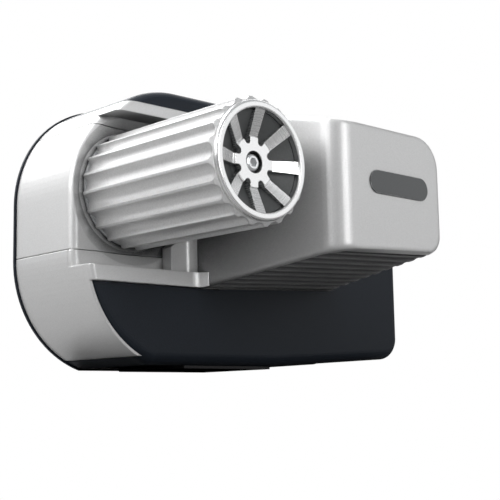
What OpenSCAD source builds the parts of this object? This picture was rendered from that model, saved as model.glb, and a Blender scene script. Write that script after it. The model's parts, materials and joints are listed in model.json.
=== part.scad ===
// Caravan motor mover: a roller drive that is pressed against a caravan tyre.
// X runs along the roller towards its free end, Y runs away from the tyre, Z is up.
// The origin is on the floor plane, below the middle of the whole object. The modules draw
// the pieces from the foot of the roller's root end, and placed() moves them to the origin.

/* [Roller] */
// Diameter of the roller over its ridges
roller_d = 82; // [78:1:88]
// Length from the root end to the rim of the end cap
roller_l = 134; // [122:1:146]
// Number of flutes round the roller
flutes = 20; // [16:1:24]
// Depth of a flute below the ridges
flute_depth = 3.8; // [2.6:0.1:4]
// Radius of a flute's hollow
flute_r = 6.2; // [5.6:0.1:7]
// Length of the bevel at the free end
bevel_l = 1.5; // [1:0.25:5]
// Wall of the sleeve below the flutes
sleeve_wall = 5; // [4:0.5:6]
// Diameter of the roller shaft
shaft_d = 20; // [16:1:22]
// Height of the roller axis above the floor
axis_h = 123; // [120:1:130]

/* [End cap] */
// Number of spokes in the end cap
spokes = 8; // [6:1:9]
// Width of a spoke
spoke_w = 8.2; // [6:0.2:9]
// Width of the cap's rim
rim_w = 5.2; // [4:0.2:6.5]
// Depth of the hub below the rim
dish_depth = 7.9; // [5:0.1:9]
// Radius of the hub ring
hub_r = 15.6; // [13:0.2:17]

/* [Housing] */
// Length from the tyre side to the rear wall
housing_l = 320; // [306:1:332]
// Distance from the roller axis to the tyre side
nose_l = 51; // [49:1:58]
// Height of the housing above the carriage
head_room = 30; // [28:1:34]
// Radius of the two corners on the tyre side
corner_r = 80; // [70:1:84]
// Radius of the two corners on the rear side
rear_r = 18; // [14:1:26]
// Thickness of the housing walls
wall = 4; // [3:0.25:5]
// Depth from the lips to the bottom of the dish round the roller's root
recess_depth = 24.7; // [22:0.1:30]
// Depth of that dish below the carriage's front
dish_l = 4.8; // [3:0.1:9]
// Distance from the carriage down to the lower lip
lip_drop = 11.8; // [10:0.2:13]
// Height of the lower lip
lip_h = 10.5; // [8:0.5:12]
// Height of the dark strip under the silver band
strip_h = 5.3; // [4:0.1:7]
// Length of the level floor behind the roller axis
flat_l = 122; // [114:1:134]
// Upward slope of the floor behind its level stretch, in degrees
tail_angle = 3.2; // [1:0.2:4]
// Step from the lip down to the dark front faces
face_step = 3.8; // [1:0.2:5]
// Thickness of the foot pad
foot_t = 2; // [1.5:0.25:4]
// Thickness of the steel frame plate
frame_t = 5; // [4:0.5:7]

/* [Motor cover] */
// Length of the cover in front of the dark faces
cover_l = 119.3; // [114:0.1:130]
// Wall of the motor cover
cover_wall = 3; // [2:0.25:3.5]
// Radius of the cover's upright corner beside the roller
cover_corner_r = 18; // [10:1:22]
// How much the cover widens towards its root
cover_flare = 16; // [8:1:20]
// Depth of the vent slats under the cover
slat_h = 4.5; // [4:0.25:5]
// Number of vent slats
slats = 9; // [6:1:10]

/* [Drive] */
// Travel of the carriage towards the tyre
travel = 30; // [20:1:32]
// Diameter of the drive motor
motor_d = 68; // [62:1:70]
// Length of the drive motor's can
motor_l = 112; // [100:1:116]
// Gear module at the roller
module_3 = 2.5; // [2.25:0.05:2.6]
// Gear module in the middle stage
module_2 = 2; // [1.9:0.05:2.1]
// Gear module at the motor
module_1 = 1.5; // [1.4:0.05:1.6]
// Face width of the roller's gear
width_3 = 13; // [10:0.5:14]
// Face width of the middle stage
width_2 = 9; // [7:0.5:10]
// Face width of the motor stage
width_1 = 8; // [6:0.5:9]
// Diameter of the guide rods
rod_d = 12; // [10:0.5:13]
// Diameter of the spindle
spindle_d = 12; // [10:0.5:13]
// Pitch of the spindle's thread
spindle_pitch = 4; // [3:0.5:5]

/* [Mounting] */
// Bore for the cross tube
tube_d = 40.4; // [34:0.2:45]
// Depth of the cross tube's socket
socket_l = 52; // [40:1:60]
// Thickness of the mounting bracket
bracket_t = 8; // [6:0.5:10]
// Clearance hole for the chassis bolts
chassis_hole_d = 10.5; // [8.5:0.5:13]
// Spacing of the chassis bolts along the tube
chassis_x = 28; // [24:1:32]
// Spacing of the chassis bolts along the housing
chassis_y = 110; // [90:1:120]

/* [Hidden] */
$fn = 96;

// Clearances between pieces
run_gap = 0.05;
seam_gap = 0.4;
fit_gap = 0.2;
case_gap = 1.5;

// Tooth counts and tooth form
teeth_out = 30;
teeth_b_small = 14;
teeth_b_large = 36;
teeth_a_small = 14;
teeth_a_large = 48;
teeth_motor = 12;
pressure_angle = 20;
tooth_slack = 0.07;
tooth_add = 0.85;
tooth_ded = 1.2;

// Roller and its flutes
roller_r = roller_d / 2;
valley_r = roller_r - flute_depth;
bore_r = valley_r - sleeve_wall;
shaft_r = shaft_d / 2;
ridge_turn = 7.8;
cap_rim_t = 3;
sleeve_l = roller_l - cap_rim_t;
end_bevel = 2.9;
cap_seat_l = 13;
cap_seat_r = bore_r + 3;
cap_r = roller_r - end_bevel;
web_x = 47;
web_t = 9;
spoke_turn = -1;
// Middle of a window's round end, drawn in from the hub ring, and the radius of that end
window_in = 1.2;
window_r = 2.3;
// Middle of a flute's round end, back from the sleeve's end
flute_back = 4.4;
dish_t = 2.6;
rim_drop = 2;
liner_t = 1.6;
hub_back = sleeve_l - cap_seat_l + liner_t + 1;
shaft_end = sleeve_l - cap_seat_l - 1;
screw_r = 4;
screw_recess_r = 7.1;
screw_head_r = 5.7;
screw_head_h = 4.2;
screw_depth = 5;
screw_socket_r = 3;

// Wall and lip heights round the carriage
case_wall = 3;
gear_tip_out = module_3 * (teeth_out / 2 + tooth_add);
tongue_h = max(roller_r + 3, gear_tip_out + case_gap + case_wall);
tongue_low = axis_h - tongue_h;
tongue_top = axis_h + tongue_h;
lip_top = tongue_low - lip_drop;
lip_low = lip_top - lip_h;
upper_lip_low = tongue_top + 7;
upper_lip_top = upper_lip_low + 8;
silver_top = upper_lip_top + 1;
zb = foot_t;
zt = tongue_top + head_room;
silver_low = zb + strip_h;
yl = -nose_l;
yr = housing_l - nose_l;
floor_cut = 4;

// Planes across the housing, from the lip back to the frame
root_gap = 2.4;
root_x = -root_gap;
floor_x = root_x + dish_l;
dish_r = roller_r + 1;
dish_spread = 2.1;
lip_x = root_x + recess_depth;
face_x = lip_x - face_step;
face_back = face_x - wall;
skin_t = 6.2;
front_wall = 5.2;
block_x = root_x - skin_t - fit_gap;
case_x = block_x - front_wall;
x3 = case_x - case_gap - width_3;
x2 = x3 - case_gap - width_2;
x1 = x2 - case_gap - width_1;
lid_x = x1 - case_gap;
lid_t = 7;
lid_skin = 2;
lid_screw_r = 1.5;
lid_screw_in = 3.4;
axle_x = lid_x - lid_t + lid_skin + 0.3;
axle_end_gap = 1.5;
frame_gap = 4.5;
frame_x = lid_x - lid_t - frame_gap;
back_x = frame_x - frame_t;
back_t = 2;
rear_x = back_x - back_t;
edge_r = 6;
lip_edge_r = 4.5;
upper_edge_r = 4.5;
face_edge_r = 8;
lip_fillet = 9.7;
front_rim = 2;

// Gear centres: output at the roller axis, then B, A and the motor
b_y = module_3 * (teeth_out + teeth_b_small) / 2;
b_z = axis_h;
turn_a = -38;
dist_a = module_2 * (teeth_b_large + teeth_a_small) / 2;
a_y = b_y + dist_a * cos(turn_a);
a_z = b_z + dist_a * sin(turn_a);
turn_m = 35;
dist_m = module_1 * (teeth_a_large + teeth_motor) / 2;
m_y = a_y + dist_m * cos(turn_m);
m_z = a_z + dist_m * sin(turn_m);
tip_b = module_2 * (teeth_b_large / 2 + tooth_add);
tip_a = module_1 * (teeth_a_large / 2 + tooth_add);
gear_shaft_r = 6;
first_shaft_r = 5;
motor_shaft_r = 4;

// Carriage castings
carrier_end = b_y + 25;
case_in = x2 + width_2 + case_gap;
case_front_t = 7;
case_front = case_in + case_front_t;
case_a_r = tip_a + case_gap + 4;
motor_r = motor_d / 2;
cavity_h = tongue_h - case_wall;
bearing_od = shaft_d + 22;
front_bearing_w = 12;
snout_wall = 5;
snout_r = bearing_od / 2 + snout_wall;
snout_flange_r = snout_r + 5;
snout_flange_t = 3;
snout_lip = 2;
snout_end = web_x - 6;

// Guides and spindle
rod_r = rod_d / 2;
bush_r = rod_r + 2;
boss_r = bush_r + 2.5;
rod_x = (x2 + x3) / 2;
rod_top_z = zt - wall - 1 - boss_r;
rod_low_z = zb + wall + 28;
boss_y = carrier_end + 0.5;
boss_l = m_y - boss_y;
bush_l = 14;
block_w = 12;
stop_gap = 4;
rod_y0 = boss_y - travel - stop_gap - block_w;
rod_y1 = boss_y + boss_l + stop_gap + block_w;
spindle_r = spindle_d / 2;
nut_r = spindle_r + 3;
nut_flange_r = nut_r + 2;
nut_flange_t = 3;
lug_l = 16;
lug_wall = 3;
lug_y = boss_y + boss_l - lug_l;
spindle_x = rod_x + boss_r + nut_r + 1;
journal_r = 4;
support_t = 10;
support_y = lug_y - travel - 6 - support_t;
// The small motor stands before the rear wall, so that the spindle takes up the housing's length
engage_gap = 24.7;
engage_plate_t = 6;
engage_r = 20;
engage_l = 50;
engage_neck_l = 14;
engage_neck_step = 4;
engage_plate_y = yr - wall - engage_gap - engage_l - engage_plate_t;
journal_l = 11;

// Motor cover
motor_gap = 0.6;
can_wall = 3.5;
magnet_t = 5;
magnet_in = 10;
magnet_back = 20;
air_gap = 3.5;
motor_flange_x = case_front;
motor_x = motor_flange_x + 6;
motor_end = motor_x + motor_l;
cover_y0 = m_y - travel - motor_r - motor_gap - cover_wall;
cover_side_gap = 10;
cover_end_y1 = m_y + motor_r + cover_side_gap + cover_wall;
// The near side leans out towards its root
cover_lean = 18.5;
cover_lean_l = cover_l - cover_corner_r;
lean_angle = atan(cover_lean / cover_lean_l);
root_y0 = cover_y0 - cover_lean;
cover_root_y1 = cover_end_y1 + cover_flare;
cover_x1 = face_x + cover_l;
cover_top_step = 2.7;
cover_top_root = upper_lip_top + cover_top_step;
cover_top_gap = 7.8;
cover_top_end = m_z + motor_r + cover_top_gap;
cover_low_root = lip_low;
cover_low_gap = 10.2;
cover_low_end = m_z - motor_r - cover_low_gap;
cover_low_rise = 5.5;
cover_top_r = 22;
cover_low_r = 13;
cover_rear_r = 9;
cover_small_r = 3;
slat_t = 3;
slat_plate_t = 1.6;
slat_margin = 7;
slat_root_margin = 1.5;
vent_roof_t = 1.8;
slat_pitch = (cover_l - slat_root_margin - slat_margin) / slats;
// Rise of the cover's underside for each millimetre along the roller
cover_slope = (cover_low_end - cover_low_root) / cover_l;
// Sideways tilt of the underside, which rises towards the rear
low_tilt = atan(cover_low_rise / (cover_root_y1 - cover_y0));
// Opening behind the cover for the motor over its whole travel
open_gap = 3;
open_y0 = cover_y0 + cover_wall + fit_gap;
open_y1 = m_y + motor_r + open_gap;
open_z0 = m_z - motor_r - open_gap;
open_z1 = m_z + motor_r + open_gap;

// Mounting side
bracket_lead = 15;
bracket_below = 70;
bracket_above = 62;
bracket_y0 = b_y - bracket_lead;
bracket_l = chassis_y + 2 * bracket_lead;
bracket_z0 = axis_h - bracket_below;
bracket_z1 = axis_h + bracket_above;
bracket_x = rear_x - bracket_t;
flange_l = 2 * chassis_x;
flange_x = rear_x - flange_l;
socket_y = bracket_y0 + bracket_l / 2;
socket_drop = 28;
socket_z = axis_h - socket_drop;
socket_wall = 7;
tube_r = tube_d / 2;
chassis_mid_x = (flange_x + bracket_x) / 2 + 0.5;
bolt_r = 5;
bolt_inset = 18;
bolt_top_inset = 30;
bolt_rows_y = [bracket_y0 + bolt_inset, bracket_y0 + bracket_l - bolt_inset];
bolt_rows_z = [bracket_z0 + bolt_inset, bracket_z1 - bolt_top_inset];
gland_in = 40;
gland_drop = 30;
gland_y = yr - gland_in;
gland_z = axis_h - gland_drop;
gland_bore_r = 3.5;
gland_r = 6;
plate_t = 0.8;
cover_screw_r = 2;
screw_in = 30;
screw_edge = 24;
clamp_screw_r = 4;
clamp_pitch = 24;

// Middle of the whole object, which stands over the origin
mid_x = (min(flange_x, bracket_x - socket_l) + cover_x1 + plate_t) / 2;
mid_y = (yl + yr) / 2;

function inv_deg(a) = tan(a) * 180 / PI - a;
function base_r(m, z) = m * z / 2 * cos(pressure_angle);
function half_deg(r, m, z) = 90 / z * (1 - tooth_slack) + inv_deg(pressure_angle)
  - inv_deg(acos(min(1, base_r(m, z) / r)));
function flank_radii(m, z) = let(tip = m * (z / 2 + tooth_add), root = m * (z / 2 - tooth_ded),
  start = max(base_r(m, z), root + 0.1 * m)) [root, start, (start + tip) / 2, tip];
// Turn of a gear that meshes with a neighbour seen at the angle dir from that neighbour
function mesh_turn(dir, turn, z_from, z_to) = dir + 180 + 180 / z_to - (turn - dir) * z_from / z_to;
turn_b_small = mesh_turn(0, 0, teeth_out, teeth_b_small);
turn_a_small = mesh_turn(turn_a, 0, teeth_b_large, teeth_a_small);
turn_motor = mesh_turn(turn_m, 0, teeth_a_large, teeth_motor);

// Moves a piece from the roller's root to the object's origin
module placed() {
  translate([-mid_x, -mid_y, 0]) children();
}

// Extrudes a shape drawn in Y and Z along X
module along_x(x, l) {
  translate([x, 0, 0]) rotate([90, 0, 90]) linear_extrude(l) children();
}

module rod_along_x(x, y, z, r, l) {
  translate([x, y, z]) rotate([0, 90, 0]) cylinder(r = r, h = l);
}

module rod_along_y(x, y, z, r, l) {
  translate([x, y, z]) rotate([-90, 0, 0]) cylinder(r = r, h = l);
}

// Box between two corners
module span_box(a, b) {
  translate(a) cube(b - a);
}

// Band between two heights that covers the whole length of the housing
module band(z0, z1, y1 = yr + 10) {
  translate([yl - 10, z0]) square([y1 - yl + 10, z1 - z0]);
}

// Height of the housing's underside at a place along its length
function under_z(y) = zb + max(0, y - flat_l) * tan(tail_angle);

// Outline of the housing in Y and Z, drawn in by an inset
module outline(inset = 0) {
  front_y = yl + corner_r;
  front_low = zb + corner_r - floor_cut;
  front_top = zt - corner_r;
  back_y = yr - rear_r;
  back_low = under_z(back_y) + rear_r / cos(tail_angle);
  r = rear_r - inset;
  // The slope starts where both lines are drawn in alike, and ends just inside the rear corner's arc
  slope_y = flat_l - inset * tan(tail_angle / 2);
  slope_r = r - 0.05;
  intersection() {
    union() {
      polygon([[front_y, zb + inset], [slope_y, zb + inset],
        [back_y + slope_r * sin(tail_angle), back_low - slope_r * cos(tail_angle)], [back_y, back_low],
        [back_y, zt - inset], [front_y, zt - inset]]);
      translate([yl + inset, front_low]) square([corner_r, front_top - front_low]);
      translate([back_y - 1, back_low]) square([r + 1, zt - rear_r - back_low]);
      for (z = [front_low, front_top])
        translate([front_y, z]) circle(corner_r - inset);
      for (z = [back_low, zt - rear_r])
        translate([back_y, z]) circle(r);
    }
    translate([yl - 10, zb + inset]) square([housing_l + 20, zt - zb - 2 * inset]);
  }
}

// Housing form up to the plane x1, with its front edge rounded
module rounded_form(x0, x1, r) {
  steps = 7;
  hull() {
    along_x(x0, x1 - r - x0) outline($fn = 128);
    for (i = [1 : steps])
      along_x(x1 - r + r * sin(90 * i / steps) - 0.01, 0.01)
        outline(r * (1 - cos(90 * i / steps)), $fn = 128);
  }
}

// Shell of the dark housing with its rounded front edge
module housing_shell() {
  difference() {
    rounded_form(back_x, face_x, face_edge_r);
    along_x(back_x - 1, face_back - back_x + 1) outline(wall);
  }
}

module gear_body(m, z, x, w, y, zc, turn) {
  radii = flank_radii(m, z);
  flank = [for (r = radii) [r, half_deg(max(r, base_r(m, z)), m, z)]];
  last = len(flank) - 1;
  pts = [for (i = [0 : z - 1]) let(mid = turn + 360 * i / z) each concat(
    [for (k = [0 : last]) flank[k][0] * [cos(mid - flank[k][1]), sin(mid - flank[k][1])]],
    [for (k = [last : -1 : 0]) flank[k][0] * [cos(mid + flank[k][1]), sin(mid + flank[k][1])]])];
  translate([0, y, zc]) along_x(x, w) polygon(pts);
}

// Dark plate that closes the inboard side, a little larger than the side bands
module back_cover() {
  rim = 1.2;
  color([0.09, 0.1, 0.13]) difference() {
    along_x(rear_x, back_t) outline(-rim);
    bracket_bolt_holes(bolt_r + 0.3);
    rod_along_x(rear_x - 1, gland_y, gland_z, gland_r + fit_gap, back_t + 2);
    for (p = screw_places())
      rod_along_x(rear_x - 1, p[0], p[1], cover_screw_r + fit_gap, back_t + 2);
  }
}

function screw_places() = [[yl + screw_in, axis_h - screw_in], [yl + screw_in, axis_h + screw_in / 3],
  [b_y, zb + screw_edge], [yr - screw_edge, zb + screw_in], [yr - screw_edge, zt - screw_in],
  [bracket_y0 - screw_edge / 2, zt - screw_edge]];

module back_cover_screws() {
  head_h = 2.4;
  socket_h = 1.6;
  color([0.12, 0.12, 0.13]) for (p = screw_places()) difference() {
    union() {
      rod_along_x(rear_x - head_h, p[0], p[1], 2 * cover_screw_r, head_h);
      rod_along_x(rear_x - 1, p[0], p[1], cover_screw_r, back_t + 0.9);
    }
    translate([0, p[0], p[1]]) along_x(rear_x - head_h - 1, socket_h + 1) circle(cover_screw_r, $fn = 6);
  }
}

module bracket_bolt_holes(r) {
  for (y = bolt_rows_y) for (z = bolt_rows_z)
    rod_along_x(bracket_x - 1, y, z, r, frame_x - bracket_x + 2);
}

// Steel plate that carries the guides and takes the bracket's bolts
module frame_plate() {
  edge = 13;
  color([0.5, 0.5, 0.52]) difference() {
    along_x(back_x, frame_t) outline(edge);
    bracket_bolt_holes(bolt_r + 0.1);
    rod_along_x(back_x - 1, gland_y, gland_z, gland_r + 3, frame_t + 2);
  }
}

// Edge strip of the front face on the tyre side, where the silver band turns round the corner
module front_strip(z0, w) {
  difference() {
    band(z0, lip_low, yl + corner_r);
    outline(w);
  }
}

// Dark tub: front face below the lip, floor, and the lower half of the rear wall
module lower_housing() {
  top = axis_h - seam_gap / 2;
  color([0.1, 0.11, 0.14]) intersection() {
    housing_shell();
    union() {
      along_x(back_x, face_back - back_x) band(zb - 1, silver_low);
      along_x(face_back, wall) difference() {
        band(zb - 1, lip_low - seam_gap);
        front_strip(silver_low + seam_gap / 2, front_rim + seam_gap);
      }
      span_box([face_back, open_y0, zb - 1], [face_x, yr, open_z0]);
      span_box([back_x, open_y1, zb - 1], [face_x, yr + 1, top]);
    }
  }
}

// Dark lid: top wall, front face above the lip and the upper half of the rear wall
module upper_housing() {
  low = axis_h + seam_gap / 2;
  color([0.1, 0.11, 0.14]) intersection() {
    housing_shell();
    union() {
      along_x(back_x, face_x - back_x) band(silver_top + seam_gap, zt + 1);
      span_box([face_back, open_y0, open_z1], [face_x, yr, zt + 1]);
      span_box([back_x, open_y1, low], [face_x, yr + 1, zt + 1]);
    }
  }
}

// Conical dish round the roller's root
module root_dish() {
  translate([root_x, 0, axis_h]) rotate([0, 90, 0])
    cylinder(r1 = dish_r, r2 = dish_r + dish_spread * (dish_l + 1), h = dish_l + 1);
}

// Cuts a side cover back to the recess floor, with the carriage's rounded edge carried on
module recess_cut(z0, z1, y1) {
  difference() {
    span_box([floor_x - edge_r + 1, yl - 1, z0], [lip_x + 1, y1 + 1, z1]);
    rounded_form(back_x, floor_x, edge_r);
  }
}

// Silver cover above the carriage, with the upper lip
module upper_side_cover() {
  y1 = cover_y0 + cover_wall;
  low = tongue_top + seam_gap;
  color([0.78, 0.79, 0.8]) difference() {
    intersection() {
      rounded_form(back_x + fit_gap, lip_x, upper_edge_r);
      along_x(back_x, lip_x - back_x) band(low, silver_top, y1);
    }
    along_x(back_x - 1, root_x - skin_t - back_x + 1) outline(wall);
    recess_cut(low - 1, upper_lip_low, y1);
    root_dish();
    span_box([face_back - fit_gap, yl - 1, upper_lip_top], [lip_x + 1, y1 + 1, silver_top + 1]);
    span_box([face_x, root_y0 - fit_gap, low - 1], [lip_x + 1, y1 + 1, silver_top + 1]);
  }
}

// Silver cover below the carriage, with the lower lip and the recess's rear wall
module lower_side_cover() {
  y1 = cover_y0 + cover_wall;
  top = tongue_low - seam_gap;
  pillar_y = roller_r - 15;
  pillar_x = floor_x + 10.2;
  root_fillet = face_x - pillar_x - fit_gap;
  color([0.78, 0.79, 0.8]) union() {
    difference() {
      intersection() {
        rounded_form(back_x + fit_gap, lip_x, lip_edge_r);
        along_x(back_x, lip_x - back_x) band(silver_low + seam_gap, top, y1);
      }
      along_x(back_x - 1, face_back - back_x + 2) intersection() {
        outline(wall);
        band(zb, lip_low);
      }
      along_x(back_x - 1, root_x - skin_t - back_x + 1) outline(wall);
      recess_cut(lip_top, top + 1, y1);
      root_dish();
      along_x(face_back - fit_gap, face_step + wall + 1) difference() {
        band(zb, lip_low, y1 + 1);
        front_strip(zb, front_rim);
      }
      span_box([face_x, yl - 1, zb], [lip_x + 1, y1 + 1, lip_low]);
      span_box([face_x, root_y0 - fit_gap, zb], [lip_x + 1, y1 + 1, top + 1]);
    }
    // Fillet from the lip's face to the motor cover
    difference() {
      translate([0, 0, lip_low]) linear_extrude(lip_h) lip_fillet_plan();
      on_underside() translate([0, -4 * lip_fillet, -lip_h]) cube([4 * lip_fillet, 4 * lip_fillet, lip_h]);
    }
    // Wall beside the motor, flush with the motor cover
    span_box([floor_x + seam_gap, root_y0, lip_low], [face_x, y1, upper_lip_low - fit_gap]);
    // Step between the recess floor and that wall, cut clear of the roller
    difference() {
      span_box([floor_x + seam_gap, pillar_y, lip_top - 1],
        [pillar_x + root_fillet, root_y0 + 1, upper_lip_low - fit_gap]);
      rod_along_x(floor_x, 0, axis_h, roller_r + 5, recess_depth + 10);
      span_box([pillar_x, pillar_y - 1, lip_top - 2],
        [lip_x + 9, root_y0 - root_fillet, upper_lip_top]);
      translate([pillar_x + root_fillet, root_y0 - root_fillet, lip_top - 2])
        cylinder(r = root_fillet, h = upper_lip_top - lip_top + 2);
    }
  }
}

// Place of the motor cover's near side, less a gap, at a place along the roller
function near_y(x) = root_y0 - fit_gap + (x - face_x) * tan(lean_angle);

// Hollow corner between the lip's face and the leaning side of the motor cover
module lip_fillet_plan() {
  blunt = 1.2;
  mid = [lip_x + lip_fillet, near_y(lip_x + lip_fillet) - lip_fillet / cos(lean_angle)];
  touch = mid + lip_fillet * [-sin(lean_angle), cos(lean_angle)];
  tip = touch - blunt * [cos(lean_angle), sin(lean_angle)];
  difference() {
    polygon([[lip_x - 1, mid[1]], mid, tip, [lip_x - 1, near_y(lip_x - 1)]]);
    translate(mid) circle(lip_fillet);
  }
}

// One upright slice of the motor cover; inset draws it in
module cover_slice(x, y0, y1, share, inset) {
  top = cover_top_root + (cover_top_end - cover_top_root) * share;
  low = cover_low_root + (cover_low_end - cover_low_root) * share;
  small = max(0.5, cover_small_r - inset);
  top_r = max(1, cover_top_r - inset);
  low_r = max(1, cover_low_r - inset);
  corners = [[y0 + inset + small, low + (y0 - cover_y0) * tan(low_tilt) + inset + small, small],
    [y0 + inset + small, top - inset - small, small],
    [y1 - inset - top_r, top - inset - top_r, top_r],
    [y1 - inset - low_r, low + (y1 - cover_y0) * tan(low_tilt) + inset + low_r, low_r]];
  for (c = corners)
    rod_along_x(x, c[0], c[1], c[2], 0.02, $fn = 40);
}

// Tapered form of the motor cover with rounded upright corners
module cover_form(inset) {
  steps = 8;
  end_x = cover_x1 - inset - 0.02;
  near_r = cover_corner_r - inset;
  rear_corner = max(1, cover_rear_r - inset);
  hull() {
    cover_slice(face_x + fit_gap - (inset > 0 ? 1 : 0), root_y0, cover_root_y1, 0, inset);
    for (i = [0 : steps]) let(
      s = sin(90 * i / steps),
      c = 1 - cos(90 * i / steps),
      x = end_x - near_r + near_r * s,
      share = (x - face_x) / cover_l,
      y1 = cover_root_y1 - cover_flare * share)
      cover_slice(x, cover_y0 + near_r * c, y1 - rear_corner * c, share, inset);
  }
}

// Works in a frame that lies along the sloping underside of the cover
module on_underside() {
  translate([face_x, cover_y0, cover_low_root])
    rotate([low_tilt, -atan(cover_slope), 0]) children();
}

// Plan of the vent pocket, drawn in by a gap and open towards the rear
module vent_plan(gap) {
  x0 = slat_root_margin + gap;
  x1 = cover_l - slat_margin - gap;
  y0 = cover_wall + gap;
  y1 = cover_root_y1 - cover_y0 + cover_wall;
  slant = cover_corner_r - slat_margin;
  polygon([[x0, y0 - cover_lean], [x1 - slant, y0], [x1, y0 + slant], [x1, y1], [x0, y1]]);
}

module motor_cover() {
  y0 = cover_y0 + cover_wall;
  root_low = cover_low_root + slat_h + 2 * cover_wall + cover_low_rise;
  below = 30;
  color([0.78, 0.79, 0.8]) difference() {
    cover_form(0);
    difference() {
      cover_form(cover_wall);
      on_underside() translate([-below, -below, -below])
        cube([cover_l + 2 * below, cover_root_y1 - cover_y0 + 2 * below, below + slat_h + vent_roof_t]);
    }
    // Opens the root, where the motor comes in
    span_box([face_x - 1, y0, root_low],
      [face_x + 1, cover_end_y1 - cover_wall, cover_top_root - cover_wall]);
    // Pocket for the vent slats
    on_underside() translate([0, 0, -below]) linear_extrude(below + slat_h) vent_plan(0);
  }
}

// Dark slats under the motor cover, cut to the cover's form at their rear ends
module vent_grille() {
  l = cover_root_y1 - cover_y0;
  color([0.08, 0.08, 0.09]) intersection() {
    cover_form(fit_gap);
    on_underside() union() {
      translate([0, 0, slat_h - slat_plate_t - fit_gap]) linear_extrude(slat_plate_t) vent_plan(fit_gap);
      intersection() {
        for (i = [0 : slats - 1])
          translate([slat_root_margin + slat_pitch * (i + 0.5) - slat_t / 2, -cover_lean, -1])
            cube([slat_t, l + cover_lean, slat_h]);
        translate([0, 0, -1]) linear_extrude(slat_h + 1) vent_plan(fit_gap);
      }
    }
  }
}

// Blank plate on the end face of the motor cover
module name_plate() {
  plate_l = 62;
  plate_h = 16;
  plate_y = (cover_y0 + cover_end_y1) / 2 + 6;
  plate_z = (cover_low_end + cover_top_end) / 2 + 5;
  color([0.2, 0.22, 0.24]) translate([0, plate_y, plate_z]) along_x(cover_x1, plate_t) union() {
    square([plate_l - plate_h, plate_h], center = true);
    for (s = [-1, 1]) translate([s * (plate_l - plate_h) / 2, 0]) circle(plate_h / 2);
  }
}

module foot_pad() {
  pad_inset = 8;
  pad_y0 = yl + corner_r + pad_inset;
  color([0.05, 0.05, 0.055])
    span_box([back_x + 3, pad_y0, 0], [face_back - 2, flat_l - 1, foot_t]);
}

module guide_rods() {
  color([0.75, 0.76, 0.78]) for (z = [rod_low_z, rod_top_z])
    rod_along_y(rod_x, rod_y0, z, rod_r, rod_y1 - rod_y0);
}

// Four blocks on the frame plate that hold the guide rods
module rod_blocks() {
  half = boss_r - 0.5;
  color([0.35, 0.36, 0.38]) for (z = [rod_low_z, rod_top_z])
    for (y = [rod_y0, rod_y1 - block_w]) difference() {
      span_box([frame_x, y, z - half], [rod_x + half, y + block_w, z + half]);
      rod_along_y(rod_x, y - 1, z, rod_r + run_gap, block_w + 2);
    }
}

// Small geared motor that turns the spindle
module engage_motor() {
  y0 = engage_plate_y + engage_plate_t;
  color([0.3, 0.31, 0.33]) difference() {
    union() {
      rod_along_y(spindle_x, y0, rod_low_z, engage_r, engage_l - engage_neck_l);
      rod_along_y(spindle_x, y0, rod_low_z, engage_r - engage_neck_step, engage_l);
    }
    rod_along_y(spindle_x, y0 - 1, rod_low_z, journal_r + run_gap, journal_l + 2);
  }
}

module engage_bracket() {
  half = engage_r + 2;
  color([0.5, 0.5, 0.52]) difference() {
    span_box([spindle_x - half, engage_plate_y, under_z(engage_plate_y + engage_plate_t) + wall + fit_gap],
      [spindle_x + half, engage_plate_y + engage_plate_t, rod_low_z + half]);
    rod_along_y(spindle_x, engage_plate_y - 1, rod_low_z, journal_r + run_gap, engage_plate_t + 2);
  }
}

module spindle_support() {
  half = journal_r + 4;
  color([0.5, 0.5, 0.52]) difference() {
    span_box([spindle_x - half, support_y, zb + wall],
      [spindle_x + half, support_y + support_t, rod_low_z + half]);
    rod_along_y(spindle_x, support_y - 1, rod_low_z, journal_r + run_gap, support_t + 2);
  }
}

// Angle bracket for the chassis rail, bolted to the frame plate
module mounting_bracket() {
  y1 = bracket_y0 + bracket_l;
  gusset_t = 6;
  gusset_h = 40;
  flange_low = bracket_z1 - bracket_t;
  color([0.13, 0.13, 0.14]) difference() {
    union() {
      span_box([bracket_x, bracket_y0, bracket_z0], [rear_x, y1, bracket_z1]);
      span_box([flange_x, bracket_y0, flange_low], [rear_x, y1, bracket_z1]);
      for (y = [bracket_y0 + gusset_t, y1])
        translate([0, y, 0]) rotate([90, 0, 0]) linear_extrude(gusset_t)
          polygon([[bracket_x, flange_low - gusset_h], [bracket_x, flange_low],
            [flange_x + gusset_t, flange_low]]);
    }
    bracket_bolt_holes(bolt_r + 0.3);
    for (sx = [-1, 1]) for (sy = [-1, 1])
      translate([chassis_mid_x + sx * chassis_x / 2, socket_y + sy * chassis_y / 2, flange_low - gusset_h])
        cylinder(d = chassis_hole_d, h = 2 * gusset_h);
  }
}

// Socket for the tube that joins the two movers
module tube_socket() {
  outer = tube_r + socket_wall;
  x0 = bracket_x - socket_l;
  collar_t = 6;
  color([0.16, 0.16, 0.17]) difference() {
    union() {
      rod_along_x(x0, socket_y, socket_z, outer, socket_l);
      rod_along_x(bracket_x - collar_t, socket_y, socket_z, outer + collar_t, collar_t);
    }
    rod_along_x(x0 - 1, socket_y, socket_z, tube_r, socket_l + 2);
    for (s = [-1, 1])
      translate([x0 + (socket_l + s * clamp_pitch) / 2, socket_y, socket_z]) rotate([180, 0, 0])
        cylinder(r = clamp_screw_r + fit_gap, h = outer + 5);
  }
}

// Clamp screws under the socket
module tube_clamp_screws() {
  outer = tube_r + socket_wall;
  head_h = 6;
  color([0.6, 0.6, 0.62]) for (s = [-1, 1])
    translate([bracket_x - (socket_l - s * clamp_pitch) / 2, socket_y, socket_z - outer - head_h]) union() {
      cylinder(r = 1.6 * clamp_screw_r, h = head_h, $fn = 6);
      cylinder(r = clamp_screw_r, h = head_h + socket_wall - 0.5);
    }
}

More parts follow.
